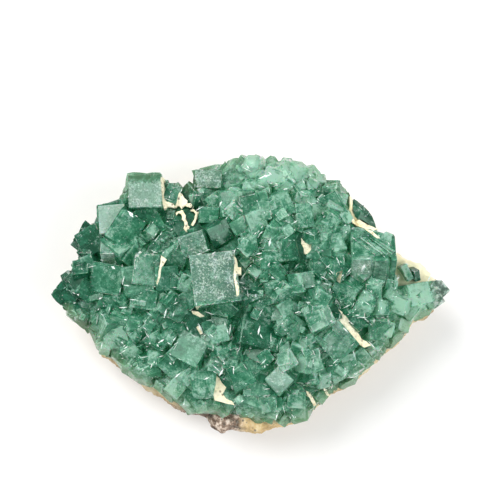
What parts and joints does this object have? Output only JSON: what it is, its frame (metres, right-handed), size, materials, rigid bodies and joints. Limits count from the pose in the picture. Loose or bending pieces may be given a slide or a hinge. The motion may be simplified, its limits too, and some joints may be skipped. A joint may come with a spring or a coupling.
{
  "type": "mineral specimen",
  "caption": "hand-sized green fluorite specimen: translucent cubic crystals grown together on a cream clay matrix",
  "frame": {"origin": "centre of the specimen's outline in the plane that it rests on, with the crystals facing up", "axes": "+X runs along its length to the pointed end, +Y to the edge opposite the bottom lump, +Z out of the crystal face"},
  "size_m": [0.0752, 0.0534, 0.0244],
  "materials": {
    "cream_matrix": "matte",
    "green_fluorite": "satin"
  },
  "bodies": {
    "root": {"matrix": "cream_matrix", "fluorite_crystals": "green_fluorite", "edge_crystal": "green_fluorite", "tip_crystal": "green_fluorite"}
  },
  "joints": []
}
